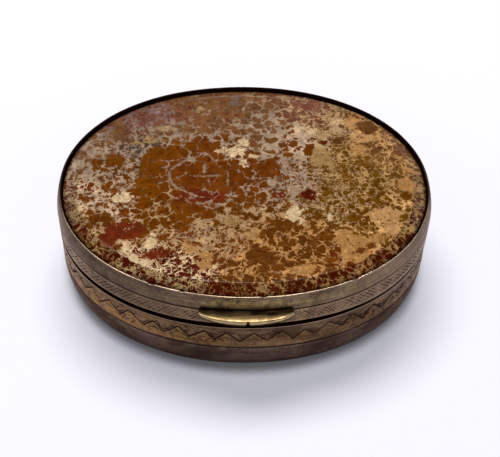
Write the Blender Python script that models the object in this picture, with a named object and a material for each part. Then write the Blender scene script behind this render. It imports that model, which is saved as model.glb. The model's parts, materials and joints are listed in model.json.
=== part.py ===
"""Oval snuff box with a stone-set lid, a crescent thumbpiece and a knuckled hinge.

Metres, +Z up. The origin is the centre of the flat base. The thumbpiece faces -Y, the hinge +Y.
"""
import math

import bmesh
import bpy
from mathutils import Matrix, Vector

MM = 0.001

# Plan: a superellipse a little squarer than an ellipse
HALF_LENGTH = 33.0 * MM
HALF_WIDTH = 25.75 * MM
PLAN_POWER = 2.09
PLAN_STEPS = 72

# Clearances
FIT_GAP = 0.3 * MM
SLIDE_GAP = 0.3 * MM
MOUTH_GAP = 1.05 * MM

# Body
PAN_HEIGHT = 7.35 * MM
PAN_WALL = 0.9 * MM
PAN_TURN_HEIGHT = 6.3 * MM
PAN_TURN_INSET = 3.0 * MM
PAN_TURN_STEPS = 7
BODY_BAND_HEIGHT = 5.5 * MM
BODY_BAND_WALL = 0.8 * MM
BORDER_HEIGHT = 0.45 * MM
PANEL_DEPTH = 0.12 * MM
INNER_RIM_WALL = 0.7 * MM

# Lid
LID_BAND_HEIGHT = 3.2 * MM
LID_BAND_WALL = 0.8 * MM
LID_PLATE_THICKNESS = 0.6 * MM
BEZEL_HEIGHT = 2.95 * MM
BEZEL_LEAN = 0.6 * MM
BEZEL_EDGE = 0.35 * MM
BEDDING_THICKNESS = 0.45 * MM
STONE_THICKNESS = 2.4 * MM
STONE_BEVEL_WIDTH = 2.3 * MM
STONE_BEVEL_DROP = 0.9 * MM
EDGE_SOFTENING = 0.1 * MM

# Thumbpiece
THUMB_HALF_LENGTH = 7.8 * MM
THUMB_REACH = 2.0 * MM
THUMB_TIP_REACH = 0.35 * MM
THUMB_RISE = 0.5 * MM
THUMB_ROOT_HEIGHT = 2.4 * MM
THUMB_SCOOP_DEPTH = 0.75 * MM
THUMB_LIP_THICKNESS = 0.5 * MM
THUMB_TIP_DEPTH = 0.3
THUMB_STEPS = 24

# Hinge
KNUCKLE_COUNT = 7
KNUCKLE_RADIUS = 1.3 * MM
HINGE_LENGTH = 22.0 * MM
PIN_RADIUS = 0.4 * MM
PIN_END = 0.25 * MM
BEARER_WALL = 0.55 * MM
BEARER_HEIGHT = 3.1 * MM
BEARER_DROP = 0.6 * MM
OPEN_ANGLE = math.radians(105.0)
STOP_CLEARANCE = math.radians(3.0)
KNUCKLE_STEPS = 24
PIN_STEPS = 16
BEARER_STEPS = 14
TROUGH_STEPS = 7

# Heights that follow from the stack
BODY_BAND_BOTTOM = PAN_HEIGHT + FIT_GAP
BODY_BAND_TOP = BODY_BAND_BOTTOM + BODY_BAND_HEIGHT
LID_BAND_BOTTOM = BODY_BAND_TOP + MOUTH_GAP
LID_BAND_TOP = LID_BAND_BOTTOM + LID_BAND_HEIGHT
LID_PLATE_BOTTOM = LID_BAND_TOP - LID_PLATE_THICKNESS
INNER_RIM_TOP = LID_PLATE_BOTTOM - FIT_GAP
BEZEL_BOTTOM = LID_BAND_TOP + FIT_GAP
BEZEL_TOP = BEZEL_BOTTOM + BEZEL_HEIGHT
BEDDING_BOTTOM = LID_BAND_TOP + FIT_GAP
BEDDING_TOP = BEDDING_BOTTOM + BEDDING_THICKNESS
STONE_BOTTOM = BEDDING_TOP + FIT_GAP
STONE_TOP = STONE_BOTTOM + STONE_THICKNESS

# Insets from the outer oval that follow from the walls
BEZEL_INNER_INSET = BEZEL_LEAN + BEZEL_EDGE
STONE_INSET = BEZEL_INNER_INSET + FIT_GAP
LID_PLATE_INSET = LID_BAND_WALL + FIT_GAP
INNER_RIM_INSET = max(LID_BAND_WALL + SLIDE_GAP, BODY_BAND_WALL + FIT_GAP)

# Hinge axis, level with the middle of the mouth
HINGE_Y = HALF_WIDTH + FIT_GAP + KNUCKLE_RADIUS
HINGE_Z = (BODY_BAND_TOP + LID_BAND_BOTTOM) / 2


def clear_scene():
    for obj in list(bpy.data.objects):
        bpy.data.objects.remove(obj, do_unlink=True)


def make_material(name, color, roughness, metallic):
    material = bpy.data.materials.new(name)
    material.use_nodes = True
    shader = material.node_tree.nodes["Principled BSDF"]
    shader.inputs["Base Color"].default_value = (*color, 1.0)
    shader.inputs["Roughness"].default_value = roughness
    shader.inputs["Metallic"].default_value = metallic
    return material


def signed_power(value, power):
    return math.copysign(abs(value) ** power, value)


def oval_point(step, inset, z):
    """Point of the oval drawn in by inset, at one of its equal steps."""
    angle = 2 * math.pi * step / PLAN_STEPS
    x = (HALF_LENGTH - inset) * signed_power(math.cos(angle), 2 / PLAN_POWER)
    y = (HALF_WIDTH - inset) * signed_power(math.sin(angle), 2 / PLAN_POWER)
    return Vector((x, y, z))


def wall_y(x):
    """Distance of the outer oval from its long axis at x."""
    return HALF_WIDTH * (1 - abs(x / HALF_LENGTH) ** PLAN_POWER) ** (1 / PLAN_POWER)


def add_object(bm, name, material, parent, sharp_angle=35.0):
    bmesh.ops.remove_doubles(bm, verts=bm.verts, dist=0.001 * MM)
    bmesh.ops.recalc_face_normals(bm, faces=bm.faces)
    mesh = bpy.data.meshes.new(name)
    bm.to_mesh(mesh)
    bm.free()
    mesh.materials.append(material)
    mesh.shade_smooth()
    mesh.set_sharp_from_angle(angle=math.radians(sharp_angle))
    obj = bpy.data.objects.new(name, mesh)
    bpy.context.collection.objects.link(obj)
    obj.parent = parent
    if parent is not None:
        obj.matrix_parent_inverse = Matrix.Translation(-parent.location)
    return obj


def loft(bm, loops, wrap):
    """Joins loops of points, each one closed, into a skin; wrap joins the last loop to the first."""
    rows = [[bm.verts.new(point) for point in loop] for loop in loops]
    pairs = list(zip(rows, rows[1:]))
    if wrap:
        pairs.append((rows[-1], rows[0]))
    for near, far in pairs:
        for i in range(len(near)):
            j = (i + 1) % len(near)
            bm.faces.new((near[i], near[j], far[j], far[i]))
    return rows


def hoop(name, profile, material, parent=None):
    """Closed ring: a profile of (inset, height) points carried round the oval."""
    bm = bmesh.new()
    loft(bm, [[oval_point(step, inset, z) for inset, z in profile] for step in range(PLAN_STEPS)], True)
    return add_object(bm, name, material, parent)


def oval_solid(name, profile, material, parent=None):
    """Solid whose (inset, height) profile runs from the middle of its base to the middle of its top."""
    bm = bmesh.new()
    loops = [[oval_point(step, inset, z) for step in range(PLAN_STEPS)] for inset, z in profile]
    rows = loft(bm, loops, False)
    bm.faces.new(rows[0])
    bm.faces.new(rows[-1])
    return add_object(bm, name, material, parent)


def quarter_turn(reach, height, steps):
    """Points of a quarter ellipse, from its foot to its upright end, about its own centre."""
    for i in range(steps + 1):
        angle = math.pi / 2 * (1 - i / steps)
        yield -reach * math.cos(angle), -height * math.sin(angle)


def build_pan(metal):
    turn = [(PAN_TURN_INSET + dx, PAN_TURN_HEIGHT + dz)
            for dx, dz in quarter_turn(PAN_TURN_INSET, PAN_TURN_HEIGHT, PAN_TURN_STEPS)]
    inner = [(PAN_TURN_INSET + dx, PAN_TURN_HEIGHT + dz)
             for dx, dz in quarter_turn(PAN_TURN_INSET - PAN_WALL, PAN_TURN_HEIGHT - PAN_WALL,
                                        PAN_TURN_STEPS)]
    lip = [(EDGE_SOFTENING, PAN_HEIGHT), (PAN_WALL, PAN_HEIGHT)]
    upright = [(0.0, PAN_HEIGHT - EDGE_SOFTENING)]
    oval_solid("body_pan", turn + upright + lip + inner[::-1], metal)


def build_body_band(metal):
    low, high = BODY_BAND_BOTTOM, BODY_BAND_TOP
    hoop("body_band", [
        (BODY_BAND_WALL, low),
        (EDGE_SOFTENING, low),
        (0.0, low + EDGE_SOFTENING),
        (0.0, low + BORDER_HEIGHT),
        (PANEL_DEPTH, low + BORDER_HEIGHT + PANEL_DEPTH),
        (PANEL_DEPTH, high - BORDER_HEIGHT - PANEL_DEPTH),
        (0.0, high - BORDER_HEIGHT),
        (0.0, high - EDGE_SOFTENING),
        (EDGE_SOFTENING, high),
        (BODY_BAND_WALL, high),
    ], metal)


def build_inner_rim(metal):
    outer, inner = INNER_RIM_INSET, INNER_RIM_INSET + INNER_RIM_WALL
    hoop("body_inner_rim", [
        (inner, BODY_BAND_BOTTOM),
        (outer, BODY_BAND_BOTTOM),
        (outer, INNER_RIM_TOP - EDGE_SOFTENING),
        (outer + EDGE_SOFTENING, INNER_RIM_TOP),
        (inner - EDGE_SOFTENING, INNER_RIM_TOP),
        (inner, INNER_RIM_TOP - EDGE_SOFTENING),
    ], metal)


def build_lid_band(metal, parent):
    low, high = LID_BAND_BOTTOM, LID_BAND_TOP
    hoop("lid_band", [
        (LID_BAND_WALL, low),
        (EDGE_SOFTENING, low),
        (0.0, low + EDGE_SOFTENING),
        (0.0, high - EDGE_SOFTENING),
        (EDGE_SOFTENING, high),
        (LID_BAND_WALL, high),
    ], metal, parent)


def build_bezel(metal, parent):
    """Strip that stands on the lid band and leans in to a thin edge over the stone."""
    lean = [(BEZEL_LEAN * share ** 1.6, BEZEL_BOTTOM + BEZEL_HEIGHT * share) for share in (0.35, 0.6, 0.8, 0.95)]
    hoop("lid_bezel", [
        (BEZEL_INNER_INSET, BEZEL_BOTTOM),
        (EDGE_SOFTENING, BEZEL_BOTTOM),
        (0.0, BEZEL_BOTTOM + EDGE_SOFTENING),
        *lean,
        (BEZEL_LEAN + EDGE_SOFTENING / 2, BEZEL_TOP),
        (BEZEL_INNER_INSET, BEZEL_TOP),
    ], metal, parent)


def build_lid_plate(metal, parent):
    oval_solid("lid_plate", [
        (LID_PLATE_INSET, LID_PLATE_BOTTOM),
        (LID_PLATE_INSET, LID_BAND_TOP),
    ], metal, parent)


def build_stone(stone, cement, parent):
    oval_solid("stone_bedding", [
        (STONE_INSET, BEDDING_BOTTOM),
        (STONE_INSET, BEDDING_TOP),
    ], cement, parent)
    edge_top = STONE_TOP - STONE_BEVEL_DROP
    table_inset = STONE_INSET + STONE_BEVEL_WIDTH
    oval_solid("stone_plaque", [
        (STONE_INSET + EDGE_SOFTENING, STONE_BOTTOM),
        (STONE_INSET, STONE_BOTTOM + EDGE_SOFTENING),
        (STONE_INSET, edge_top),
        (table_inset - EDGE_SOFTENING, STONE_TOP - EDGE_SOFTENING * STONE_BEVEL_DROP / STONE_BEVEL_WIDTH),
        (table_inset + EDGE_SOFTENING, STONE_TOP),
    ], stone, parent)


def build_thumbpiece(metal, parent):
    """Crescent ledge: a scooped section that grows from its tips to its middle along the front wall."""
    top = BEZEL_BOTTOM + THUMB_RISE
    scoop, lip = top - THUMB_SCOOP_DEPTH, top - THUMB_SCOOP_DEPTH / 3
    section = [
        (0.0, top),
        (0.06, (top + scoop) / 2),
        (0.2, scoop),
        (0.5, scoop + (lip - scoop) * 0.3),
        (0.78, scoop + (lip - scoop) * 0.8),
        (0.93, lip),
        (1.0, lip - THUMB_LIP_THICKNESS * 0.35),
        (0.97, lip - THUMB_LIP_THICKNESS),
        (0.6, lip - THUMB_LIP_THICKNESS * 1.8),
        (0.25, top - THUMB_ROOT_HEIGHT * 0.75),
        (0.0, top - THUMB_ROOT_HEIGHT),
    ]
    sections = []
    for i in range(THUMB_STEPS + 1):
        angle = math.pi * (i / THUMB_STEPS - 0.5)
        x = THUMB_HALF_LENGTH * math.sin(angle)
        swell = math.cos(angle)
        reach = THUMB_TIP_REACH + (THUMB_REACH - THUMB_TIP_REACH) * swell
        depth = THUMB_TIP_DEPTH + (1 - THUMB_TIP_DEPTH) * math.sqrt(swell)
        root = wall_y(x) + FIT_GAP
        sections.append([Vector((x, -(root + share * reach), lip + (z - lip) * depth)) for share, z in section])
    bm = bmesh.new()
    rows = loft(bm, sections, False)
    bm.faces.new(rows[0])
    bm.faces.new(rows[-1])
    add_object(bm, "thumbpiece", metal, parent, 50.0)


def bearer_section(x, side):
    """Section of a hinge bearer at x: a strip on the wall with a round trough for the knuckles."""
    trough = KNUCKLE_RADIUS + FIT_GAP
    wall = wall_y(x) + FIT_GAP - HINGE_Y
    mouth = (LID_BAND_BOTTOM - BODY_BAND_TOP) / 2
    edge = (OPEN_ANGLE + STOP_CLEARANCE) / 2
    start = math.pi - math.asin(mouth / trough)
    if wall > trough * math.cos(start):
        start = math.acos(wall / trough)
    low = max(mouth, trough * math.sin(start))
    points = [(wall, low)]
    for i in range(1, TROUGH_STEPS + 1):
        angle = start + (edge - start) * i / TROUGH_STEPS
        points.append((trough * math.cos(angle), trough * math.sin(angle)))
    outer = trough + BEARER_WALL
    for i in range(4):
        angle = edge + (math.radians(95.0) - edge) * i / 3
        points.append((outer * math.cos(angle), outer * math.sin(angle)))
    height = BEARER_HEIGHT - BEARER_DROP * abs(2 * x / HINGE_LENGTH) ** 3
    points.append((wall + BEARER_WALL, height - BEARER_WALL / 2))
    points.append((wall, height))
    return [Vector((x, HINGE_Y + dy, HINGE_Z + side * dz)) for dy, dz in points]


def build_bearer(name, side, metal, parent=None):
    bm = bmesh.new()
    stations = [HINGE_LENGTH * (i / BEARER_STEPS - 0.5) for i in range(BEARER_STEPS + 1)]
    rows = loft(bm, [bearer_section(x, side) for x in stations], False)
    bm.faces.new(rows[0])
    bm.faces.new(rows[-1])
    add_object(bm, name, metal, parent)


def turned(name, profile, steps, material, parent=None):
    """Spins a profile of (x, radius) points round the hinge axis."""
    bm = bmesh.new()
    verts = [bm.verts.new((x, HINGE_Y + radius, HINGE_Z)) for x, radius in profile]
    edges = [bm.edges.new(pair) for pair in zip(verts, verts[1:])]
    bmesh.ops.spin(bm, geom=verts + edges, cent=(0.0, HINGE_Y, HINGE_Z), axis=(1.0, 0.0, 0.0),
                   angle=2 * math.pi, steps=steps, use_merge=True)
    return add_object(bm, name, material, parent)


def build_knuckles(metal, lid):
    """Tubes soldered to the body and the lid in turn, the outer two on the body."""
    length = (HINGE_LENGTH - (KNUCKLE_COUNT - 1) * SLIDE_GAP) / KNUCKLE_COUNT
    bore = PIN_RADIUS + FIT_GAP
    for i in range(KNUCKLE_COUNT):
        left = -HINGE_LENGTH / 2 + i * (length + SLIDE_GAP)
        right = left + length
        profile = [
            (left, bore),
            (left, KNUCKLE_RADIUS - EDGE_SOFTENING),
            (left + EDGE_SOFTENING, KNUCKLE_RADIUS),
            (right - EDGE_SOFTENING, KNUCKLE_RADIUS),
            (right, KNUCKLE_RADIUS - EDGE_SOFTENING),
            (right, bore),
            (left, bore),
        ]
        on_lid = i % 2 == 1
        name = f"{'lid' if on_lid else 'body'}_knuckle_{i // 2 + 1}"
        turned(name, profile, KNUCKLE_STEPS, metal, lid if on_lid else None)


def build_pin(metal):
    end = HINGE_LENGTH / 2
    turned("hinge_pin", [
        (-end - PIN_END, 0.0),
        (-end - PIN_END * 0.8, PIN_RADIUS * 0.6),
        (-end, PIN_RADIUS),
        (end, PIN_RADIUS),
        (end + PIN_END * 0.8, PIN_RADIUS * 0.6),
        (end + PIN_END, 0.0),
    ], PIN_STEPS, metal)


def main():
    clear_scene()
    silver = make_material("tarnished_silver", (0.33, 0.28, 0.23), 0.38, 1.0)
    gilt = make_material("worn_gilding", (0.52, 0.38, 0.20), 0.35, 1.0)
    steel = make_material("pin_steel", (0.35, 0.34, 0.33), 0.4, 1.0)
    stone = make_material("mottled_stone", (0.36, 0.18, 0.08), 0.12, 0.0)
    cement = make_material("setting_cement", (0.05, 0.03, 0.02), 0.8, 0.0)

    lid = bpy.data.objects.new("lid_axis", None)
    lid.location = (0.0, HINGE_Y, HINGE_Z)
    bpy.context.collection.objects.link(lid)

    build_pan(silver)
    build_body_band(silver)
    build_inner_rim(gilt)
    build_bearer("body_hinge_bearer", -1, silver)
    build_lid_band(silver, lid)
    build_bezel(silver, lid)
    build_lid_plate(gilt, lid)
    build_stone(stone, cement, lid)
    build_thumbpiece(gilt, lid)
    build_bearer("lid_hinge_bearer", 1, silver, lid)
    build_knuckles(silver, lid)
    build_pin(steel)


main()
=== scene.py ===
"""Looks of an oval snuff box: rubbed, hand-cut metal round a polished mottled stone, on a white table.

Lengths are in millimetres until a mesh is made. Distances along the oval run from the middle of the
front, positive to the right.
"""
import json
import math

import bpy
import numpy as np
from mathutils import Matrix, Vector


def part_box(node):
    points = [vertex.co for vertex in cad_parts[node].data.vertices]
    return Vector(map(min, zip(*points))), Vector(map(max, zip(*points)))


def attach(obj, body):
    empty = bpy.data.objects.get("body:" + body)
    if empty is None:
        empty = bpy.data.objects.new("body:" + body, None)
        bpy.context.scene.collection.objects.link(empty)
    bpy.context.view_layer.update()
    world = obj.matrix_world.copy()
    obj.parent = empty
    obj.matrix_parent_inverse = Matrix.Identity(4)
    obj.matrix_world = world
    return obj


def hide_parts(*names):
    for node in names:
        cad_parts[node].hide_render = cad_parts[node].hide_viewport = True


MM = 0.001
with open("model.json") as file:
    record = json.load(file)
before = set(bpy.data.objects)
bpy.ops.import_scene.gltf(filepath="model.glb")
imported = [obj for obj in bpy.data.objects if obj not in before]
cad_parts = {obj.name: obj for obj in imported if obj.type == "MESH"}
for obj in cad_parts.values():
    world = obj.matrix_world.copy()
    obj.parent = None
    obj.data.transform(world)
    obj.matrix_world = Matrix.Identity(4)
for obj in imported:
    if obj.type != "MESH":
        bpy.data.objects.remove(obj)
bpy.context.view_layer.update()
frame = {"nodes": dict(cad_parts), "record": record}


def extent(node):
    """Lowest and highest corner of a CAD node."""
    low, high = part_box(node)
    return np.array(low) / MM, np.array(high) / MM


def heights(node):
    """Heights of a CAD node's foot and top."""
    low, high = extent(node)
    return low[2], high[2]


# The oval plan, and the heights of the hoops that are stacked on it
HALF_LENGTH, HALF_WIDTH = extent("lid_band")[1][:2]
PLAN_POWER = 2.09
PAN_TOP = heights("body_pan")[1]
BODY_BAND_LOW, BODY_BAND_HIGH = heights("body_band")
LID_BAND_LOW, LID_BAND_HIGH = heights("lid_band")
BEZEL_LOW, BEZEL_HIGH = heights("lid_bezel")
STONE_LOW, STONE_HIGH = heights("stone_plaque")
STONE_INSET = HALF_LENGTH - extent("stone_plaque")[1][0]

# Points that the oval is measured with, and the columns of each piece's mesh round it
OVAL_SAMPLES = 20001
PAN_COLUMNS = 360
BAND_COLUMNS = 1640
BEZEL_COLUMNS = 900
SEAM_COLUMNS = 360
STONE_COLUMNS = 420

# Walls and edges; a rounded edge starts EDGE from its corner, and its middle lies EDGE_MIDDLE from it
PAN_WALL = 0.9
PAN_TURN_INSET, PAN_TURN_HEIGHT = 3.0, 6.3
PAN_TURN_STEPS = 20
PAN_DENT = 0.06
PAN_FOOT_GRIME_AND_SHADE = 0.7
BAND_WALL = 0.8
BAND_STEPS = 42
EDGE, EDGE_MIDDLE = 0.1, 0.03
BEZEL_LEAN, BEZEL_EDGE = 0.6, 0.35
BEZEL_STEPS, BEZEL_BACK_STEPS = 16, 6
BEZEL_WAVE = 0.05
SEAM_GAP = 0.01
LID_SEAM_INSET, LID_SEAM_INNER = 0.22, 0.9
BODY_SEAM_INSET, BODY_SEAM_MIDDLE, BODY_SEAM_INNER = 0.1, 0.04, 0.85
SETTING_GAP, SETTING_DROP, SETTING_SLOPE = 0.02, 0.45, 0.06
BEVEL_WIDTH, BEVEL_DROP = 2.3, 0.9
BEVEL_EDGE = 0.06
BEVEL_SHARES = (0.1, 0.25, 0.4, 0.55, 0.7, 0.85, 0.995)
TABLE_CREASE = 0.012
TABLE_RINGS, TABLE_CENTRE = 96, 0.012

# Thumbpiece
THUMB_HALF_LENGTH = 7.8
THUMB_REACH, THUMB_TIP_REACH = 2.0, 0.35
THUMB_TOP = BEZEL_LOW + 0.5
THUMB_GAP = 0.3
THUMB_ROOT_HEIGHT = 2.4
THUMB_SCOOP = THUMB_TOP - 0.6
THUMB_LIP = THUMB_SCOOP + 0.06
THUMB_LIP_THICKNESS = 0.5
THUMB_TIP_DEPTH = 0.3
THUMB_NICK = 0.4
THUMB_SECTION_POINTS, THUMB_STEPS = 44, 121

# Cuts in the body's band, with heights above its foot
PANEL_LOW, PANEL_HIGH, PANEL_DEPTH = 0.5, 5.0, 0.06
BAND_DENT = 0.03
ZIGZAG_PITCH = 4.33
ZIGZAG_PHASE = 1.45
ZIGZAG_LOW, ZIGZAG_HIGH = 1.8, 4.1
ZIGZAG_STRAY_ALONG, ZIGZAG_STRAY_UP = 0.38, 0.32
ZIGZAG_WIDTH, ZIGZAG_DEPTH = 0.36, 0.13
ECHO_CHANCES = (0.35, 0.6, 0.05)
ECHO_SPACING = 0.34
TICK_OFFSETS = (-0.7, 0.0, 0.7)
TICK_DROP = 1.5
TICK_REACH = (0.22, 0.2)
TICK_WIDTH = 0.24
SCRATCHES = 460
SCRATCH_LOW, SCRATCH_HIGH = 0.9, 4.7
SCRATCH_WIDTH = 0.3
PANEL_SEED = 11

# Cross-hatching on the lid's band, and how far the band's foot hangs down at its two ends
HATCH_CELL_LENGTH = 0.21
HATCH_CELLS = 4
HATCH_ROWS = 13
HATCH_DEPTH = 0.09
HATCH_MARGIN_LOW, HATCH_MARGIN_HIGH = 0.35, 0.3
DROOP_RIGHT, DROOP_LEFT = 0.5, 0.12
HATCH_SEED = 23

# Patches along the hoops: strength or depth, distance along, and half width
BEZEL_NICKS = ((0.22, -16.3, 0.5), (0.16, -10.8, 0.35), (0.2, 2.9, 0.3), (0.2, 19.4, 0.6))
# The bezel's gold is partly a painted reflection of the gilt thumbpiece over it; the shade patches on
# the left of the bezel and both bands are painted shade, and the bezel's sheen patches on its right are
# painted sheen
BEZEL_GOLD_AND_REFLECTION = ((0.9, 0.0, 9.0), (0.45, 17.0, 9.0))
BEZEL_PAINTED_SHADE = ((0.18, -20.0, 7.0),)
BEZEL_PAINTED_SHEEN = ((0.13, 36.0, 8.0), (0.06, 19.0, 9.0))
HATCH_PAINTED_SHADE = ((0.2, -17.0, 7.0),)
HATCH_WEAR = ((0.95, 0.0, 12.0),)
BAND_PAINTED_SHADE = ((0.28, -11.0, 14.0),)
BAND_GILDING = ((0.45, -34.0, 18.0),)
BAND_SHALLOWS = ((0.15, 9.0, 9.0),)

# Table: its reach and drop, its glow, and where the glow starts and is full, as shares of the oval
FLOOR_REACH, FLOOR_DROP = 1500, 0.05
FLOOR_GLOW = 0.38
GLOW_START, GLOW_FULL = 0.95, 1.05

# Fades of the room's light: axis of the direction, its range there, and the strength at both ends
WORLD_FADES = (("Z", 0.5, 0.74, 2.2, 0.03), ("Z", 0.0, 0.4, 0.1, 1.0), ("Y", -0.2, 0.5, 0.45, 0.15))
WORLD_COLOUR = (0.91, 0.94, 1.0, 1.0)

# Lamp: an oval in metres, with its power in watts
LAMP_LENGTH, LAMP_WIDTH = 0.62, 0.38
LAMP_POWER = 6.5
LAMP_COLOUR = (1.0, 0.985, 0.96)
LAMP_PLACE = (-0.06, 0.29, 0.79)

# Camera: angles in degrees, distance from the middle of the rim, and shifts to its right and down
CAMERA_ELEVATION, CAMERA_AZIMUTH, CAMERA_ROLL = 49.19, -2.08, 1.73
CAMERA_DISTANCE, CAMERA_RIGHT, CAMERA_DOWN = 198.0, 0.866, 7.891
CAMERA_LENS, CAMERA_SENSOR = 81.32, 36.0


def signed_power(value, power):
    """A power of the value's size, with the value's sign."""
    return np.sign(value) * np.abs(value) ** power


def oval_direction(angle):
    """Points of the plan's oval with half axes of 1."""
    across = signed_power(np.cos(angle), 2 / PLAN_POWER)
    deep = signed_power(np.sin(angle), 2 / PLAN_POWER)
    return np.array([across, deep])


def oval_columns(count):
    """Directions of equal steps round the oval, and their distances from the middle of the front."""
    angle = np.linspace(0.5 * np.pi, 2.5 * np.pi, OVAL_SAMPLES)
    across, deep = oval_direction(angle)
    steps = np.hypot(np.diff(HALF_LENGTH * across), np.diff(HALF_WIDTH * deep))
    travel = np.concatenate([[0.0], np.cumsum(steps)])
    along = np.arange(count) * travel[-1] / count
    return oval_direction(np.interp(along, travel, angle)), along - travel[-1] / 2


PERIMETER = -2 * oval_columns(2)[1][0]


def value_noise(u, v, seed, period=256):
    """Smooth noise from -1 to 1, with one random value per unit; along u it repeats after a period."""
    table_rows = 64
    table = np.random.default_rng(seed).uniform(-1, 1, (period, table_rows))
    columns, rows = np.floor(u).astype(int), np.floor(v).astype(int)
    fu, fv = u - columns, v - rows
    fu, fv = fu * fu * (3 - 2 * fu), fv * fv * (3 - 2 * fv)
    near, far = columns % period, (columns + 1) % period
    low, high = rows % table_rows, (rows + 1) % table_rows
    bottom = table[near, low] * (1 - fu) + table[far, low] * fu
    top = table[near, high] * (1 - fu) + table[far, high] * fu
    return bottom * (1 - fv) + top * fv


def round_noise(along, height, size, seed):
    """Noise over a hoop with features of about size, without a seam."""
    period = round(PERIMETER / size)
    return value_noise((along / PERIMETER + 0.5) * period, height / size + 0 * along, seed, period)


def rise(value, low, high):
    """Smooth step from 0 at low to 1 at high."""
    share = np.clip((value - low) / (high - low), 0, 1)
    return share * share * (3 - 2 * share)


def hump(value, centre, width):
    """Smooth hump that is 1 at its centre."""
    return np.exp(-(((value - centre) / width) ** 2))


def humps(value, rows):
    """Sum of humps, each given as its strength, centre and half width."""
    return sum(strength * hump(value, centre, width) for strength, centre, width in rows)


def oval_points(shape, inset, height):
    """Points of the oval drawn in by inset at a height, one per column."""
    x, y = (HALF_LENGTH - inset) * shape[0], (HALF_WIDTH - inset) * shape[1]
    return np.stack(np.broadcast_arrays(x, y, height), -1)


def grid_faces(rows, columns, wrap=False):
    """Quads of a grid that is closed round its columns, and round its rows too if it wraps."""
    i, j = np.meshgrid(np.arange(rows if wrap else rows - 1), np.arange(columns), indexing="ij")
    above, beside = (i + 1) % rows, (j + 1) % columns
    corners = (i * columns + j, i * columns + beside, above * columns + beside, above * columns + j)
    return np.stack(corners, -1).reshape(-1, 4).tolist()


def capped_faces(rows, columns):
    """Quads of a grid that is closed round its columns, and a face across its first and its last row."""
    faces = grid_faces(rows, columns)
    faces.append(list(range(columns))[::-1])
    faces.append(list(range((rows - 1) * columns, rows * columns)))
    return faces


def make_piece(name, points, faces, material, body, replaces, values, sharp=40.0):
    """Mesh piece from points in millimetres, with values or colours at its points for the material."""
    mesh = bpy.data.meshes.new(name)
    mesh.from_pydata((np.reshape(points, (-1, 3)) * MM).tolist(), [], faces)
    mesh.update()
    for key, value in values.items():
        colour = np.ndim(value) == 3
        layer = mesh.attributes.new(key, "FLOAT_COLOR" if colour else "FLOAT", "POINT")
        layer.data.foreach_set("color" if colour else "value", np.ravel(value).astype(np.float32))
    mesh.materials.append(material)
    mesh.shade_smooth()
    mesh.set_sharp_from_angle(angle=math.radians(sharp))
    piece = bpy.data.objects.new(name, mesh)
    bpy.context.scene.collection.objects.link(piece)
    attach(piece, body)
    if replaces:
        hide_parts(*replaces)


def make_hoop(name, shape, rows, values, material, body, replaces=()):
    """Closed ring whose section is a list of (inset, height), each a number or one number per column."""
    columns = shape.shape[1]
    points = np.array([oval_points(shape, inset, height) for inset, height in rows])
    values = {key: [row + np.zeros(columns) for row in value] for key, value in values.items()}
    faces = grid_faces(len(rows), columns, wrap=True)
    make_piece(name, points, faces, material, body, replaces, values)


def srgb(red, green, blue):
    """Linear colour from display values of 0 to 255."""
    share = np.array([red, green, blue]) / 255
    linear = np.where(share <= 0.04045, share / 12.92, ((share + 0.055) / 1.055) ** 2.4)
    return (*linear.tolist(), 1.0)


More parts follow.
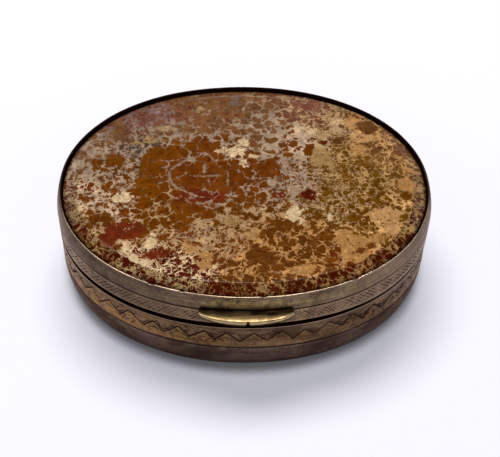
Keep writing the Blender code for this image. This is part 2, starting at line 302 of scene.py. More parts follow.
class Surface:
    """A material; each method adds a node and returns its output socket. Sizes are in millimetres."""

    def __init__(self, name):
        self.material = bpy.data.materials.new(name)
        self.material.use_nodes = True
        self.nodes = self.material.node_tree.nodes
        self.links = self.material.node_tree.links
        self.shader = self.nodes["Principled BSDF"]
        inside = self.add("ShaderNodeTexCoord", out="Object")
        self.place = self.scale(inside, 1 / MM)

    def add(self, kind, inputs=None, out=0, **settings):
        node = self.nodes.new(kind)
        for key, value in settings.items():
            setattr(node, key, value)
        for key, value in (inputs or {}).items():
            self.feed(node.inputs[key], value)
        return node.outputs[out]

    def feed(self, socket, value):
        """Links a socket to the value, or sets it if the value is a plain number or colour."""
        if isinstance(value, bpy.types.NodeSocket):
            self.links.new(value, socket)
        else:
            socket.default_value = value

    def math(self, operation, first, second=0.0):
        return self.add("ShaderNodeMath", {0: first, 1: second}, operation=operation)

    def times(self, first, second):
        return self.math("MULTIPLY", first, second)

    def rise(self, value, low, high, first=0.0, last=1.0):
        """Smooth step from first, where value is low, to last, where it is high."""
        inputs = {"Value": value, "From Min": low, "From Max": high, "To Min": first, "To Max": last}
        return self.add("ShaderNodeMapRange", inputs, interpolation_type="SMOOTHSTEP")

    def blend(self, share, first, second):
        """Number that goes from first, where share is 0, to second, where it is 1."""
        return self.add("ShaderNodeMix", {0: share, 2: first, 3: second}, data_type="FLOAT")

    def mix(self, share, first, second):
        """Colour that goes from first, where share is 0, to second, where it is 1."""
        return self.add("ShaderNodeMix", {0: share, 6: first, 7: second}, 2, data_type="RGBA")

    def coat(self, tone, share, amount, colour):
        """The tone under a colour that covers an amount of it where share is 1."""
        return self.mix(self.times(share, amount), tone, colour)

    def noise(self, size, detail=3.0, place=None, stretch=None, roughness=0.55):
        place = place or self.place
        if stretch:
            place = self.add("ShaderNodeVectorMath", {0: place, 1: stretch}, operation="MULTIPLY")
        inputs = {"Vector": place, "Scale": 1 / size, "Detail": detail, "Roughness": roughness}
        return self.add("ShaderNodeTexNoise", inputs)

    def cells(self, size, place, feature="DISTANCE_TO_EDGE", out=0):
        inputs = {"Vector": place, "Scale": 1 / size}
        return self.add("ShaderNodeTexVoronoi", inputs, out, feature=feature)

    def cell_edges(self, size, place):
        """About 1 where cells meet, highest at their corners, and falling to 0 and below inside them."""
        edge = self.times(self.cells(size, place), 2.2)
        corner = self.times(self.cells(size, place, "F1"), 0.6)
        return self.math("SUBTRACT", self.math("ADD", corner, 0.6), edge)

    def value(self, name):
        return self.add("ShaderNodeAttribute", out="Fac", attribute_name=name)

    def colour(self, name):
        return self.add("ShaderNodeAttribute", out="Color", attribute_name=name)

    def scale(self, vector, amount):
        """A colour or vector times a number."""
        return self.add("ShaderNodeVectorMath", {0: vector, "Scale": amount}, operation="SCALE")

    def warp(self, place, size, reach):
        """The place pushed about by up to half the reach, in swirls of about the given size."""
        inputs = {"Vector": place, "Scale": 1 / size, "Detail": 2.0}
        drift = self.add("ShaderNodeTexNoise", inputs, "Color")
        drift = self.add("ShaderNodeVectorMath", {0: drift, 1: (0.5, 0.5, 0.5)}, operation="SUBTRACT")
        inputs = {0: drift, 1: (reach, reach, reach), 2: place}
        return self.add("ShaderNodeVectorMath", inputs, operation="MULTIPLY_ADD")

    def bump(self, height, depth, strength):
        inputs = {"Height": height, "Distance": depth * MM, "Strength": strength}
        return self.add("ShaderNodeBump", inputs)

    def finish(self, **sockets):
        for key, value in sockets.items():
            self.feed(self.shader.inputs[key], value)
        return self.material


# Colours that all the metals share
OLIVE_TARNISH = srgb(106, 98, 72)
PIT = srgb(40, 24, 16)
WEAR_AND_HIGHLIGHT = srgb(232, 202, 168)
DIRT_AND_SHADE = srgb(28, 9, 5)
EDGE_TINT = srgb(238, 230, 226)
FOOT_TINT = srgb(206, 194, 188)

# Metals: dark and plain tarnished tones, the gold that shows through them, roughness, and tint at a
# glancing angle
METALS = {
    "tarnished_metal": (srgb(68, 52, 44), srgb(118, 95, 82), srgb(158, 136, 84), 0.4, EDGE_TINT),
    "tarnished_pan": (srgb(68, 51, 46), srgb(106, 84, 76), srgb(140, 108, 70), 0.42, FOOT_TINT),
    "engraved_metal": (srgb(74, 53, 39), srgb(129, 96, 72), srgb(157, 118, 65), 0.4, EDGE_TINT),
    "worn_gilding": (srgb(134, 108, 72), srgb(176, 146, 98), srgb(200, 170, 120), 0.42, EDGE_TINT),
    "pin_steel": (srgb(110, 105, 100), srgb(160, 155, 150), srgb(160, 150, 130), 0.35, EDGE_TINT),
}


def aged_metal(name, dark, plain, gold, roughness, glancing):
    """Tarnished metal, with three values at its points: gilt, cut for soiling and painted shade, and rub
    for bright wear and painted highlights.
    """
    s = Surface(name)
    cloud = s.rise(s.noise(7.0, 4.0), 0.36, 0.64)
    grain = s.rise(s.noise(0.7, 5.0, roughness=0.65), 0.4, 0.66)
    streaks = s.noise(0.9, 4.0, stretch=(0.12, 0.12, 3.0))
    scratch = s.rise(s.noise(0.5, 2.0, stretch=(0.08, 0.08, 2.5)), 0.62, 0.68)
    pits = s.rise(s.noise(0.24, 2.0), 0.64, 0.72)
    patchy = s.times(s.value("gilt"), s.rise(s.noise(1.2, 4.0), 0.3, 0.6))
    tone = s.mix(cloud, dark, plain)
    tone = s.mix(s.rise(s.noise(3.5, 3.0), 0.48, 0.62, 0.0, 0.4), tone, OLIVE_TARNISH)
    tone = s.mix(patchy, tone, gold)
    tone = s.scale(tone, s.rise(streaks, 0.34, 0.66, 0.72, 1.22))
    tone = s.coat(tone, grain, 0.4, dark)
    tone = s.coat(tone, scratch, 0.3, gold)
    tone = s.coat(tone, pits, 0.6, PIT)
    # rub brightens the metal: bright wear, and painted highlights and sheen on some edges and patches
    tone = s.coat(tone, s.value("rub_and_highlight"), 0.9, WEAR_AND_HIGHLIGHT)
    # cut turns the metal dark and dull: soiling in cuts and joints, and painted shade in gaps, hollows
    # and on some faces
    tone = s.mix(s.value("cut"), tone, DIRT_AND_SHADE)
    rough = s.math("ADD", s.times(grain, 0.14), s.times(streaks, 0.16))
    rough = s.math("ADD", rough, roughness - 0.14)
    rough = s.math("SUBTRACT", rough, s.times(s.value("rub_and_highlight"), 0.15))
    height = s.math("ADD", s.times(s.noise(0.3, 3.0), 0.5), streaks)
    return s.finish(**{
        "Base Color": tone,
        "Roughness": rough,
        "Metallic": s.math("SUBTRACT", 1.0, s.value("cut")),
        "Specular IOR Level": 0.0,
        "Specular Tint": glancing,
        "Normal": s.bump(height, 0.02, 0.7),
    })


def pan_turn(reach, climb, angles):
    """Section of the pan's rounded turn, which meets the flat base at 90 degrees and the wall at 0."""
    inset, height = PAN_TURN_INSET, PAN_TURN_HEIGHT
    return [(inset - reach * math.cos(a), height - climb * math.sin(a)) for a in angles]


def build_pan(material):
    """The raised pan: a rounded foot with faint dents, and the same turn inside, gilded."""
    shape, along = oval_columns(PAN_COLUMNS)
    turn = np.linspace(math.pi / 2, 0, PAN_TURN_STEPS)
    outside = pan_turn(PAN_TURN_INSET, PAN_TURN_HEIGHT, turn)
    inside = pan_turn(PAN_TURN_INSET - PAN_WALL, PAN_TURN_HEIGHT - PAN_WALL, turn[::-1])
    lip = [(0.0, PAN_TOP - EDGE), (EDGE_MIDDLE, PAN_TOP - EDGE_MIDDLE),
           (EDGE, PAN_TOP), (PAN_WALL, PAN_TOP)]
    rows, gilt, cut = [], [], []
    for inset, height in outside + lip:
        dents = np.maximum(round_noise(along, height, 7.0, seed=3), 0)
        rows.append(oval_points(shape, inset + PAN_DENT * rise(height, 0.2, 2.0) * dents, height))
        gilt.append(0 * along)
        # Darker towards the foot: soiling, and painted shade for the shadow where the pan meets the
        # table
        cut.append(0 * along + PAN_FOOT_GRIME_AND_SHADE * (1 - rise(height, 0.3, 3.4)))
    for inset, height in inside:
        rows.append(oval_points(shape, inset, height))
        gilt.append(0 * along + 1)
        cut.append(0 * along)
    faces = capped_faces(len(rows), PAN_COLUMNS)
    values = {"gilt": gilt, "cut": cut}
    make_piece("pan", rows, faces, material, "box_body", ["body_pan"], values)


def band_rows(low, high, steps):
    """Section of a band: in along its underside, up its outer wall, and in along its top."""
    middle = (BAND_WALL + EDGE) / 2
    bottom = [(BAND_WALL, low), (middle, low), (EDGE, low), (EDGE_MIDDLE, low + EDGE_MIDDLE)]
    wall = [(0.0, height) for height in np.linspace(low + EDGE, high - EDGE, steps)]
    return bottom + wall + [(inset, low + high - height) for inset, height in bottom[::-1]]


def zigzag_turns(rng):
    """Corners of the hand-cut zigzag as distances along the band and heights above its foot."""
    count = 2 * round(PERIMETER / ZIGZAG_PITCH)
    step = PERIMETER / count
    first = ZIGZAG_PHASE - step * 2 * math.floor((ZIGZAG_PHASE + PERIMETER / 2) / step / 2)
    along = first + step * np.arange(count)
    along = along + rng.uniform(-ZIGZAG_STRAY_ALONG, ZIGZAG_STRAY_ALONG, count)
    top = np.arange(count) % 2 == 0
    height = np.where(top, ZIGZAG_HIGH, ZIGZAG_LOW)
    height = height + rng.uniform(-ZIGZAG_STRAY_UP, ZIGZAG_STRAY_UP, count)
    return along, height, top


def echo_strokes(rng, low, high, depth):
    """Up to two shorter strokes beside a flank of the zigzag, on the inside of its valley."""
    side = np.sign(low[0] - high[0])
    strokes = []
    for echo in range(rng.choice(3, p=ECHO_CHANCES)):
        shift = np.array([side * ECHO_SPACING, ECHO_SPACING]) * (1.0 + echo)
        first, last = rng.uniform(0.05, 0.3), rng.uniform(0.55, 0.85)
        start = low + (high - low) * first + shift
        end = low + (high - low) * last + shift * 0.8
        strokes.append((*start, *end, ZIGZAG_WIDTH * rng.uniform(0.65, 0.85), depth * 0.65))
    return strokes


def tick_strokes(rng, peak):
    """Short ticks below a peak of the zigzag."""
    strokes = []
    for offset in TICK_OFFSETS:
        place = peak + [offset + rng.uniform(-0.2, 0.2), -TICK_DROP - abs(offset) * 0.6]
        strokes.append((*(place - TICK_REACH), *(place + TICK_REACH), TICK_WIDTH, ZIGZAG_DEPTH * 0.4))
    return strokes


def stray_scratches(rng):
    """Short, shallow scratches all over the panel."""
    strokes = []
    for _ in range(SCRATCHES):
        place = np.array([rng.uniform(-0.5, 0.5) * PERIMETER, rng.uniform(SCRATCH_LOW, SCRATCH_HIGH)])
        reach = np.array([rng.uniform(0.2, 0.7) * rng.choice([-1, 1]), rng.uniform(0.1, 0.6)])
        depth = ZIGZAG_DEPTH * rng.uniform(0.12, 0.42)
        strokes.append((*(place - reach), *(place + reach), SCRATCH_WIDTH, depth))
    return strokes


def panel_strokes(rng):
    """All cuts in the panel, each (s0, z0, s1, z1, width, depth), and the zigzag's corners."""
    along, height, top = zigzag_turns(rng)
    strokes = []
    for i in range(len(along)):
        j = (i + 1) % len(along)
        start = np.array([along[i], height[i]])
        end = np.array([along[j] + (PERIMETER if j == 0 else 0), height[j]])
        depth = ZIGZAG_DEPTH * rng.uniform(0.75, 1.0)
        strokes.append((*start, *end, ZIGZAG_WIDTH * rng.uniform(0.75, 1.1), depth))
        low, high = (end, start) if top[i] else (start, end)
        strokes += echo_strokes(rng, low, high, depth)
        if top[i]:
            strokes += tick_strokes(rng, start)
    return strokes + stray_scratches(rng), along, height


def engrave(along, up, strokes):
    """Depth at each grid point of cuts (s0, z0, s1, z1, width, depth) that run out at both ends."""
    cut = np.zeros((len(up), len(along)))
    for s0, z0, s1, z1, width, depth in strokes:
        near = np.abs((along - (s0 + s1) / 2 + PERIMETER / 2) % PERIMETER - PERIMETER / 2)
        window = np.flatnonzero(near < abs(s1 - s0) / 2 + width)
        s = (along[window] - s0 + PERIMETER / 2) % PERIMETER - PERIMETER / 2
        length = math.hypot(s1 - s0, z1 - z0)
        ds, dz = (s1 - s0) / length, (z1 - z0) / length
        lengthwise = s * ds + (up - z0) * dz
        aside = np.abs(-s * dz + (up - z0) * ds)
        ends = rise(lengthwise, -width / 2, width) * rise(length - lengthwise, -width / 2, width)
        groove = depth * ends * np.clip(1 - (2 * aside / width) ** 2, 0, 1)
        cut[:, window] = np.maximum(cut[:, window], groove)
    return cut


def build_body_band(material):
    """The body's band: plain borders, and a sunk panel with the zigzag cut through its tarnished
    surface.
    """
    shape, along = oval_columns(BAND_COLUMNS)
    strokes, corners, corner_heights = panel_strokes(np.random.default_rng(PANEL_SEED))
    rows = band_rows(BODY_BAND_LOW, BODY_BAND_HIGH, BAND_STEPS)
    up = np.array([[height] for _, height in rows]) - BODY_BAND_LOW
    on_wall = np.array([[inset == 0] for inset, _ in rows])
    wear = 0.8 + 0.35 * round_noise(along, 0.0, 8.0, seed=5) - humps(along, BAND_SHALLOWS)
    cut = engrave(along, up, strokes) * np.clip(wear, 0.12, 1) * on_wall
    panel = rise(up, PANEL_LOW - 0.1, PANEL_LOW + 0.1)
    panel = panel * (1 - rise(up, PANEL_HIGH - 0.1, PANEL_HIGH + 0.1))
    dents = np.maximum(round_noise(along, up, 3.0, seed=7), 0)
    sunk = PANEL_DEPTH * panel + cut + BAND_DENT * dents * on_wall

    # Gilding is left below the zigzag, most of it on the left
    line = np.interp(along, corners, corner_heights, period=PERIMETER)
    below = rise(line - 0.25 - up, 0.0, 0.3) * rise(up, 0.3, 0.5)
    left = 0.25 + 0.4 * (1 - rise(along, -12.0, 6.0))
    spread = 0.2 + humps(along, BAND_GILDING)

    # The upper border is rubbed bright all round, partly a painted highlight along its edge, and the
    # lower one on the left
    foot = 0.4 * (1 - rise(up, 0.1, 0.3)) * (1 - rise(along, -34.0, -16.0))
    shoulder_wear_and_highlight = 0.5 * rise(up, 5.25, 5.4)
    # Painted shade: the top of the wall darker on the left under the lid's edge, and the band's top face
    # dark in the gap under the lid
    painted_shade_patch = rise(up, 4.3, 4.8) * humps(along, BAND_PAINTED_SHADE) * on_wall
    top = (1 - on_wall) * rise(up, 2.0, 3.0)
    values = {
        "cut": np.clip(np.clip(cut / ZIGZAG_DEPTH * 3.2, 0, 0.9) + painted_shade_patch + top, 0, 1),
        "gilt": (spread + below) * left * on_wall,
        "rub_and_highlight": (shoulder_wear_and_highlight + foot) * on_wall,
    }
    rows = [(inset + sunk[i], height) for i, (inset, height) in enumerate(rows)]
    make_hoop("engraved_body_band", shape, rows, values, material, "box_body",
              ["body_band"])


def build_lid_band(material):
    """The lid's band: diamonds cut on a fine lattice, rubbed away beside the thumbpiece."""
    lines = round(PERIMETER / HATCH_CELL_LENGTH / HATCH_CELLS)
    columns = HATCH_CELLS * lines
    shape, along = oval_columns(columns)
    low, high = LID_BAND_LOW + HATCH_MARGIN_LOW, LID_BAND_HIGH - HATCH_MARGIN_HIGH
    lattice = [(0.0, height) for height in np.linspace(low, high, HATCH_ROWS)]
    droop = DROOP_RIGHT * rise(along, 8.0, 26.0) + DROOP_LEFT * rise(-along, 22.0, 34.0)
    edge = LID_BAND_LOW - droop * (1 - rise(np.abs(along), 62.0, 80.0))
    foot = [(BAND_WALL, edge), (EDGE, edge), (EDGE_MIDDLE, edge + EDGE_MIDDLE), (0.0, edge + EDGE)]
    head = [(0.0, LID_BAND_HIGH - EDGE), (EDGE_MIDDLE, LID_BAND_HIGH - EDGE_MIDDLE),
            (EDGE, LID_BAND_HIGH), (BAND_WALL, LID_BAND_HIGH)]
    strength = np.random.default_rng(HATCH_SEED).uniform(0.15, 1.0, (2, lines))
    worn = (1 - humps(along, HATCH_WEAR)) * (1 - 0.35 * rise(np.abs(along), 26.0, 40.0))

    def cut_share(i, j, height):
        """Share of the full depth at lattice place (i, j); half places are the middles of cells."""
        climbing, falling = np.round(j - i).astype(int), np.round(j + i).astype(int)
        on_climbing, on_falling = climbing % HATCH_CELLS == 0, falling % HATCH_CELLS == 0
        first = on_climbing * strength[0][climbing // HATCH_CELLS % lines]
        second = on_falling * strength[1][falling // HATCH_CELLS % lines]
        uneven = np.maximum(0.7 + 0.75 * round_noise(along, height, 0.9, seed=31), 0.2)
        return np.maximum(first, second) * worn * uneven

    j = np.arange(columns)
    points, cuts = [], []
    for number, (inset, height) in enumerate(foot + lattice + head):
        i = number - len(foot)
        inner = 0 < i < HATCH_ROWS - 1
        cut = cut_share(i, j, height) if inner else np.zeros(columns)
        stray = 0.05 * round_noise(along, height, 1.0, seed=33) if inner else 0.0
        points.append(oval_points(shape, inset + HATCH_DEPTH * cut, height + stray))
        cuts.append(cut)
    total = len(points)
    half = oval_columns(2 * columns)[0][:, 1::2]
    for i in range(HATCH_ROWS - 1):
        cut = cut_share(i + 0.5, j + 0.5, low + i * 0.2)
        height = (points[len(foot) + i][:, 2] + points[len(foot) + i + 1][:, 2]) / 2
        points.append(oval_points(half, HATCH_DEPTH * cut, height))
        cuts.append(cut)
    first, last = len(foot) * columns, (len(foot) + HATCH_ROWS - 1) * columns
    faces = []
    for number, quad in enumerate(grid_faces(total, columns, wrap=True)):
        if first <= number < last:
            centre = total * columns + number - first
            faces += [[quad[n], quad[(n + 1) % 4], centre] for n in range(4)]
        else:
            faces.append(quad)
    cuts = np.array(cuts)
    patches = 0.9 * hump(np.abs(along), 9.5, 2.2)
    patches = patches * rise(round_noise(along, 0.0, 0.8, seed=35), -0.4, 0.4)
    # cut blackens the cuts, and on the left adds painted shade that dims the band's bright reflection
    values = {
        "cut": np.clip(cuts * 2.6 + humps(along, HATCH_PAINTED_SHADE), 0, 0.95),
        "rub_and_highlight": 0.165 * (1 - cuts),
        "gilt": patches + 0 * cuts,
    }
    make_piece("hatched_lid_band", points, faces, material, "lid", ["lid_band"],
               values, sharp=70.0)


def build_bezel(material):
    """Upper strip that leans in over the stone: wavy and nicked, with gold low on its wall that over the
    thumbpiece is partly a painted reflection, a painted highlight along the front of its outer corner,
    painted sheen on its right, and painted shade at the back of its top, on its inner faces, above the
    thumbpiece and on the left.
    """
    shape, along = oval_columns(BEZEL_COLUMNS)
    tall = BEZEL_HIGH - BEZEL_LOW
    inner = BEZEL_LEAN + BEZEL_EDGE
    foot = [(inner, BEZEL_LOW), (EDGE, BEZEL_LOW), (0.02, BEZEL_LOW + 0.04)]
    shares = np.linspace(0.05, 0.96, BEZEL_STEPS)
    wall = [(BEZEL_LEAN * share ** 1.6, BEZEL_LOW + tall * share) for share in shares]
    top = [(BEZEL_LEAN + 0.03, BEZEL_HIGH - 0.05), (BEZEL_LEAN + 0.1, BEZEL_HIGH - 0.01),
           (BEZEL_LEAN + 0.2, BEZEL_HIGH - 0.02), (inner - 0.03, BEZEL_HIGH - 0.09)]
    climb = np.linspace(BEZEL_HIGH - 0.2, BEZEL_LOW + 0.4, BEZEL_BACK_STEPS)
    back = [(inner, height) for height in climb]
    wave = BEZEL_WAVE * round_noise(along, 0.0, 5.0, seed=41) - humps(along, BEZEL_NICKS)
    front = rise(-shape[1], -0.4, 0.6)
    # Strength of the painted highlight along the front of the top edge, more of it on the right
    bright = 0.55 + 0.3 * round_noise(along, 0.0, 2.2, seed=43) + 0.25 * rise(along, -6.0, 6.0)
    behind_thumb = rise(THUMB_HALF_LENGTH - np.abs(along), 0.0, 0.5)
    gold_and_reflection, painted_sheen, painted_shade_patch = (humps(along, rows) for rows in (BEZEL_GOLD_AND_REFLECTION, BEZEL_PAINTED_SHEEN, BEZEL_PAINTED_SHADE))
    rows, cut, rub_and_highlight, gilt = [], [], [], []
    for inset, height in foot + wall + top + back:
        inside = inset > inner - 0.1
        near_top = rise(height, BEZEL_HIGH - 0.7, BEZEL_HIGH - 0.05)
        shade = behind_thumb * (1 - rise(height, THUMB_TOP, THUMB_TOP + 0.25))
        # Painted shade: the top at the back and sides, the wall just above the thumbpiece, and the shade
        # patch on the left
        bezel_shade = 0.95 * np.maximum((1 - front) * near_top, shade) + painted_shade_patch
        # Painted highlight along the front of the top edge, and painted sheen on the right
        wear = front * bright * hump(height, BEZEL_HIGH - 0.03, 0.06) + painted_sheen
        rows.append((inset, height + np.minimum(wave, 0.0) * near_top))
        # The inner faces are painted shade, black between the bezel and the stone
        cut.append(1.0 if inside else np.clip(bezel_shade, 0, 1))
        rub_and_highlight.append(wear if inset < BEZEL_LEAN + 0.15 else 0.0)
        # Gold low on the wall; over the thumbpiece it is partly a painted reflection of its gilt lip
        gilt.append(0.0 if inside else gold_and_reflection * hump(height, BEZEL_LOW + 1.4, 1.2))
    values = {"cut": cut, "rub_and_highlight": rub_and_highlight, "gilt": gilt}
    make_hoop("bezel", shape, rows, values, material, "lid", ["lid_bezel"])


def build_seams(lid_metal, body_metal):
    """Dark solder lines between the stacked hoops, and a dark strip of painted shade in the gap round
    the stone.
    """
    shape, _ = oval_columns(SEAM_COLUMNS)
    low, high = LID_BAND_HIGH + SEAM_GAP, BEZEL_LOW - SEAM_GAP
    outer, inner = LID_SEAM_INSET, LID_SEAM_INNER
    rows = [(inner, low), (outer, low), (outer, high), (inner, high)]
    make_hoop("lid_seam", shape, rows, {"cut": [1.0] * 4}, lid_metal, "lid")
    low, high = PAN_TOP + SEAM_GAP, BODY_BAND_LOW - SEAM_GAP
    outer, inner = BODY_SEAM_INSET, BODY_SEAM_INNER
    middle = (BODY_SEAM_MIDDLE, (low + high) / 2)
    rows = [(inner, low), (outer, low), middle, (outer, high), (inner, high)]
    make_hoop("body_seam", shape, rows, {"cut": [0.6] * 5}, body_metal, "box_body")
    # A strip of painted shade that fills the gap between the bezel and the stone
    outer, inner = BEZEL_LEAN + BEZEL_EDGE + SETTING_GAP, STONE_INSET - SETTING_GAP
    low, high = STONE_LOW, STONE_HIGH - BEVEL_DROP - SETTING_DROP
    rows = [(inner, low), (outer, low), (outer, high + SETTING_SLOPE), (inner, high)]
    make_hoop("painted_shade_round_stone", shape, rows, {"cut": [1.0] * 4}, lid_metal, "lid")


def wall_y(x):
    """Distance of the outer oval from its long axis at x."""
    return HALF_WIDTH * (1 - np.abs(x / HALF_LENGTH) ** PLAN_POWER) ** (1 / PLAN_POWER)


def smooth_curve(points, count):
    """Points of a Catmull-Rom curve through the given ones, ends included."""
    points = np.array(points)
    padded = np.concatenate([[2 * points[0] - points[1]], points, [2 * points[-1] - points[-2]]])
    made = []
    for at in np.linspace(0, len(points) - 1, count):
        i = min(int(at), len(points) - 2)
        t = at - i
        a, b, c, d = padded[i:i + 4]
        made.append(0.5 * (2 * b + (c - a) * t + (2 * a - 5 * b + 4 * c - d) * t ** 2
                           + (3 * b - a - 3 * c + d) * t ** 3))
    return np.array(made)


def build_thumbpiece(material):
    """Crescent ledge with a scooped top and a bright, nicked lip."""
    section = smooth_curve([
        (0.0, THUMB_TOP),
        (0.04, (THUMB_TOP + THUMB_SCOOP) / 2),
        (0.12, THUMB_SCOOP + 0.03),
        (0.25, THUMB_SCOOP),
        (0.45, THUMB_SCOOP + 0.02),
        (0.65, THUMB_LIP),
        (0.84, THUMB_LIP),
        (0.95, THUMB_LIP - THUMB_LIP_THICKNESS * 0.3),
        (0.99, THUMB_LIP - THUMB_LIP_THICKNESS * 0.8),
        (1.0, THUMB_LIP - THUMB_LIP_THICKNESS * 1.3),
        (0.95, THUMB_LIP - THUMB_LIP_THICKNESS * 1.8),
        (0.6, THUMB_LIP - THUMB_LIP_THICKNESS * 2.3),
        (0.25, THUMB_TOP - THUMB_ROOT_HEIGHT * 0.75),
        (0.0, THUMB_TOP - THUMB_ROOT_HEIGHT),
    ], THUMB_SECTION_POINTS)
    angle = np.linspace(-math.pi / 2, math.pi / 2, THUMB_STEPS)
    x = THUMB_HALF_LENGTH * np.sin(angle)
    swell = np.cos(angle)
    reach = THUMB_TIP_REACH + (THUMB_REACH - THUMB_TIP_REACH) * swell
    tall = THUMB_TIP_DEPTH + (1 - THUMB_TIP_DEPTH) * np.sqrt(np.clip(swell, 0, 1))
    points, gilt, rub_and_highlight, cut = [], [], [], []
    for share, z in section:
        lip = rise(share, 0.3, 0.75) * (1 if z > THUMB_LIP - THUMB_LIP_THICKNESS * 1.2 else 0.2)
        nick = THUMB_NICK * hump(x, 0.25, 0.22) * hump(share, 1.0, 0.12)
        out = wall_y(x) + THUMB_GAP + share * reach - nick
        points.append(np.stack([x, -out, THUMB_LIP + (z - THUMB_LIP) * tall], -1))
        upper = 1 if z > THUMB_SCOOP - 0.1 else 0
        # cut: painted shade deep in the scoop next to the wall with stains over it, painted shade under
        # the lip, and darker in the nick
        stains = value_noise(x / 1.4 + 40, share * 9 + 0 * x, seed=51)
        scoop_shade_and_stains = 0.85 * (1 - rise(share, 0.12, 0.62)) + 0.3 * stains
        under = 0.85 * rise(THUMB_LIP - z, THUMB_LIP_THICKNESS * 0.6, THUMB_LIP_THICKNESS * 1.1)
        gilt.append(0 * x + lip)
        rub_and_highlight.append(0 * x + 0.3 * hump(share, 0.96, 0.07) * lip)
        cut.append(np.clip(scoop_shade_and_stains * upper + under + nick * 2.5, 0, 0.95))
    count = len(x)
    faces = []
    for i in range(len(section)):
        above = (i + 1) % len(section)
        for k in range(count - 1):
            faces.append([above * count + k, above * count + k + 1, i * count + k + 1, i * count + k])
    tip = np.arange(len(section)) * count
    faces += [tip.tolist(), (tip + count - 1)[::-1].tolist()]
    values = {"gilt": gilt, "rub_and_highlight": rub_and_highlight, "cut": cut}
    make_piece("scooped_thumbpiece", points, faces, material, "lid", ["thumbpiece"],
               values, sharp=60.0)


# Colours of the stone
UMBER = srgb(100, 55, 10)
WALNUT = srgb(104, 64, 26)
OCHRE = srgb(110, 59, 4)
RUSSET = srgb(110, 55, 9)
RUST = srgb(110, 42, 16)
OXBLOOD = srgb(82, 20, 3)
OLIVE = srgb(100, 62, 4)
ROSEWOOD = srgb(121, 71, 54)
# The stone's brown lightened and greyed by a painted sheen, for the regions at the back
SHEEN_LIGHTENED_BROWN = srgb(119, 79, 45)
SLATE = srgb(76, 62, 50)
CREAM = srgb(230, 198, 152)
BUFF = srgb(178, 143, 102)
STRAW = srgb(172, 135, 84)
TAN = srgb(190, 138, 80)
SAND = srgb(206, 156, 100)
DOVE = srgb(158, 133, 110)
PEARL = srgb(192, 163, 132)
KHAKI = srgb(142, 112, 62)
LAVENDER = srgb(124, 100, 92)

# Regions of the stone: centre, radii, ground, vein colour, share of veins, and fineness from 0 for large
# cells to 1 for lace
REGIONS = [
    (-5.0, 20.5, 9.0, 4.0, SHEEN_LIGHTENED_BROWN, DOVE, 0.08, 0.4),
    (-16.5, 17.5, 5.0, 3.5, ROSEWOOD, LAVENDER, 0.27, 0.8),
    (-12.5, 13.0, 5.0, 2.5, SHEEN_LIGHTENED_BROWN, DOVE, 0.32, 0.5),
    (-24.5, 14.0, 3.0, 4.0, SHEEN_LIGHTENED_BROWN, LAVENDER, 0.16, 0.6),
    (-28.0, 8.0, 4.0, 4.5, SHEEN_LIGHTENED_BROWN, DOVE, 0.42, 0.4),
    (-19.0, 8.0, 3.0, 3.0, SLATE, DOVE, 0.34, 0.8),
    (-23.0, 2.0, 4.5, 3.5, UMBER, DOVE, 0.29, 0.6),
    (-6.0, 9.0, 6.0, 3.0, RUSSET, DOVE, 0.24, 0.0),
    (-4.0, 1.0, 9.0, 6.0, RUSSET, DOVE, 0.15, 0.0),
    (3.0, 14.5, 5.0, 5.0, SHEEN_LIGHTENED_BROWN, DOVE, 0.35, 0.2),
    (9.5, 21.5, 4.0, 2.0, ROSEWOOD, BUFF, 0.24, 0.6),
    (12.0, 17.5, 3.5, 3.0, ROSEWOOD, BUFF, 0.24, 0.8),
    (9.0, 10.0, 4.0, 4.0, RUSSET, PEARL, 0.48, 0.3),
    (16.5, 14.0, 3.0, 4.0, WALNUT, BUFF, 0.40, 0.8),
    (8.0, 1.0, 5.0, 5.0, UMBER, DOVE, 0.42, 0.9),
    (22.0, 3.0, 8.0, 6.0, OLIVE, STRAW, 0.22, 1.0),
    (27.0, 9.0, 4.0, 5.0, SHEEN_LIGHTENED_BROWN, SAND, 0.22, 0.8),
    (-25.5, -3.5, 6.0, 4.0, RUSSET, PEARL, 0.3, 0.8),
    (-27.0, -9.5, 3.0, 3.5, UMBER, BUFF, 0.2, 0.6),
    (-13.5, -5.5, 4.0, 4.0, OCHRE, BUFF, 0.11, 0.0),
    (-7.0, -12.5, 6.0, 3.0, RUSSET, BUFF, 0.32, 0.9),
    (-12.0, -18.0, 4.0, 2.5, OXBLOOD, CREAM, 0.22, 0.8),
    (0.0, -7.0, 4.0, 3.5, UMBER, BUFF, 0.35, 0.6),
    (7.0, -13.5, 7.0, 5.0, UMBER, TAN, 0.24, 0.6),
    (15.5, -4.5, 5.0, 4.5, OLIVE, BUFF, 0.18, 1.0),
    (24.0, -9.0, 5.0, 5.0, OLIVE, SAND, 0.24, 0.7),
    (17.0, -18.0, 5.0, 3.0, RUSSET, TAN, 0.29, 0.7),
]

